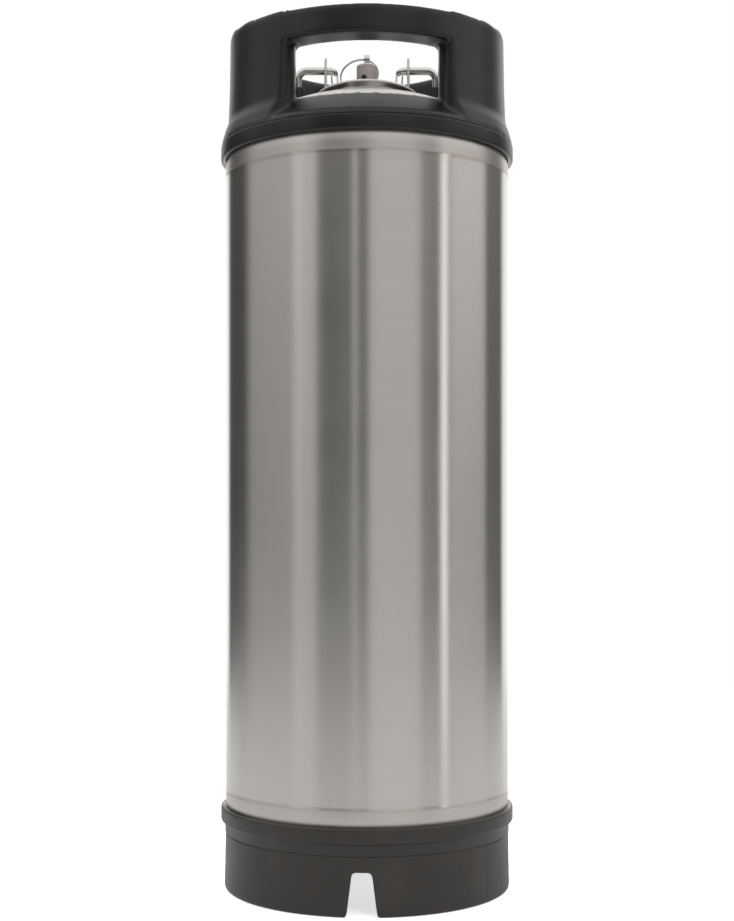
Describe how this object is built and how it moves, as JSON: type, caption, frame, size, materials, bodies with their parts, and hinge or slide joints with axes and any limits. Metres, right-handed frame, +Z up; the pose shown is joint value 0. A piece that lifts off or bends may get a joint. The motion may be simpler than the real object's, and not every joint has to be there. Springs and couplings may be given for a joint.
{
  "type": "beer keg",
  "caption": "Cylindrical stainless beer keg with rubber top handle and base boot, oval bail-locked lid, relief valve and quick-connect posts.",
  "frame": {"origin": "centre of the base boot's underside, on the floor", "axes": "+Z up along the barrel; -Y towards the front hand hole; +X towards the liquid post"},
  "size_m": [0.2232, 0.2232, 0.648],
  "materials": {
    "shell_steel": "fine horizontal brushing round the barrel",
    "head_steel": "satin drawn sheet",
    "black_rubber": "moulded, satin",
    "machined_steel": "turned, bright",
    "tube_steel": "drawn, bright",
    "seal_rubber": "smooth",
    "poppet_brass": "turned",
    "spring_wire": "bright wire",
    "lid_steel": "satin pressing",
    "bail_steel": "polished wire",
    "foot_rubber": "smooth",
    "valve_steel": "turned and knurled"
  },
  "bodies": {
    "keg": {"shell_barrel": "shell_steel", "top_head": "head_steel", "bottom_head": "head_steel", "top_handle": "black_rubber", "base_boot": "black_rubber", "gas_spud": "machined_steel", "liquid_spud": "machined_steel", "gas_post": "machined_steel", "liquid_post": "machined_steel", "gas_post_oring": "seal_rubber", "liquid_post_oring": "seal_rubber", "gas_dip_tube": "tube_steel", "liquid_dip_tube": "tube_steel", "gas_tube_oring": "seal_rubber", "liquid_tube_oring": "seal_rubber", "gas_poppet_spring": "spring_wire", "liquid_poppet_spring": "spring_wire"},
    "lid": {"lid_plate": "lid_steel", "lid_oring": "seal_rubber", "left_ear": "lid_steel", "right_ear": "lid_steel", "relief_body": "valve_steel", "relief_gasket": "seal_rubber", "relief_nut": "valve_steel", "relief_spring": "spring_wire"},
    "bail": {"bail": "bail_steel", "left_foot": "foot_rubber", "right_foot": "foot_rubber"},
    "relief_stem": {"relief_stem": "valve_steel", "relief_seal": "seal_rubber"},
    "relief_ring": {"relief_ring": "spring_wire"},
    "gas_poppet": {"gas_poppet": "poppet_brass", "gas_poppet_seal": "seal_rubber"},
    "liquid_poppet": {"liquid_poppet": "poppet_brass", "liquid_poppet_seal": "seal_rubber"}
  },
  "joints": [
    {"name": "lid_drop", "type": "slide", "parent": "keg", "child": "lid", "axis": [0, 0, -1], "range_m": [0, 0.004]},
    {"name": "bail_swing", "type": "hinge", "parent": "lid", "child": "bail", "pos_m": [0, 0, 0.6244], "axis": [1, 0, 0], "range_deg": [0, 100]},
    {"name": "relief_lift", "type": "slide", "parent": "lid", "child": "relief_stem", "axis": [0, 0, 1], "range_m": [0, 0.0025], "stiffness_N_per_m": 900, "springref_m": -0.004, "deforming": ["relief_spring"]},
    {"name": "ring_swing", "type": "hinge", "parent": "relief_stem", "child": "relief_ring", "pos_m": [0, 0, 0.6329], "axis": [1, 0, 0], "range_deg": [0, 110]},
    {"name": "gas_poppet_press", "type": "slide", "parent": "keg", "child": "gas_poppet", "axis": [0, 0, -1], "range_m": [0, 0.003], "stiffness_N_per_m": 900, "springref_m": -0.004, "deforming": ["gas_poppet_spring"]},
    {"name": "liquid_poppet_press", "type": "slide", "parent": "keg", "child": "liquid_poppet", "axis": [0, 0, -1], "range_m": [0, 0.003], "stiffness_N_per_m": 900, "springref_m": -0.004, "deforming": ["liquid_poppet_spring"]}
  ],
  "couplings": [
    {"joint": "lid_drop", "follows": "bail_swing", "m_per_rad": 0.00229}
  ]
}
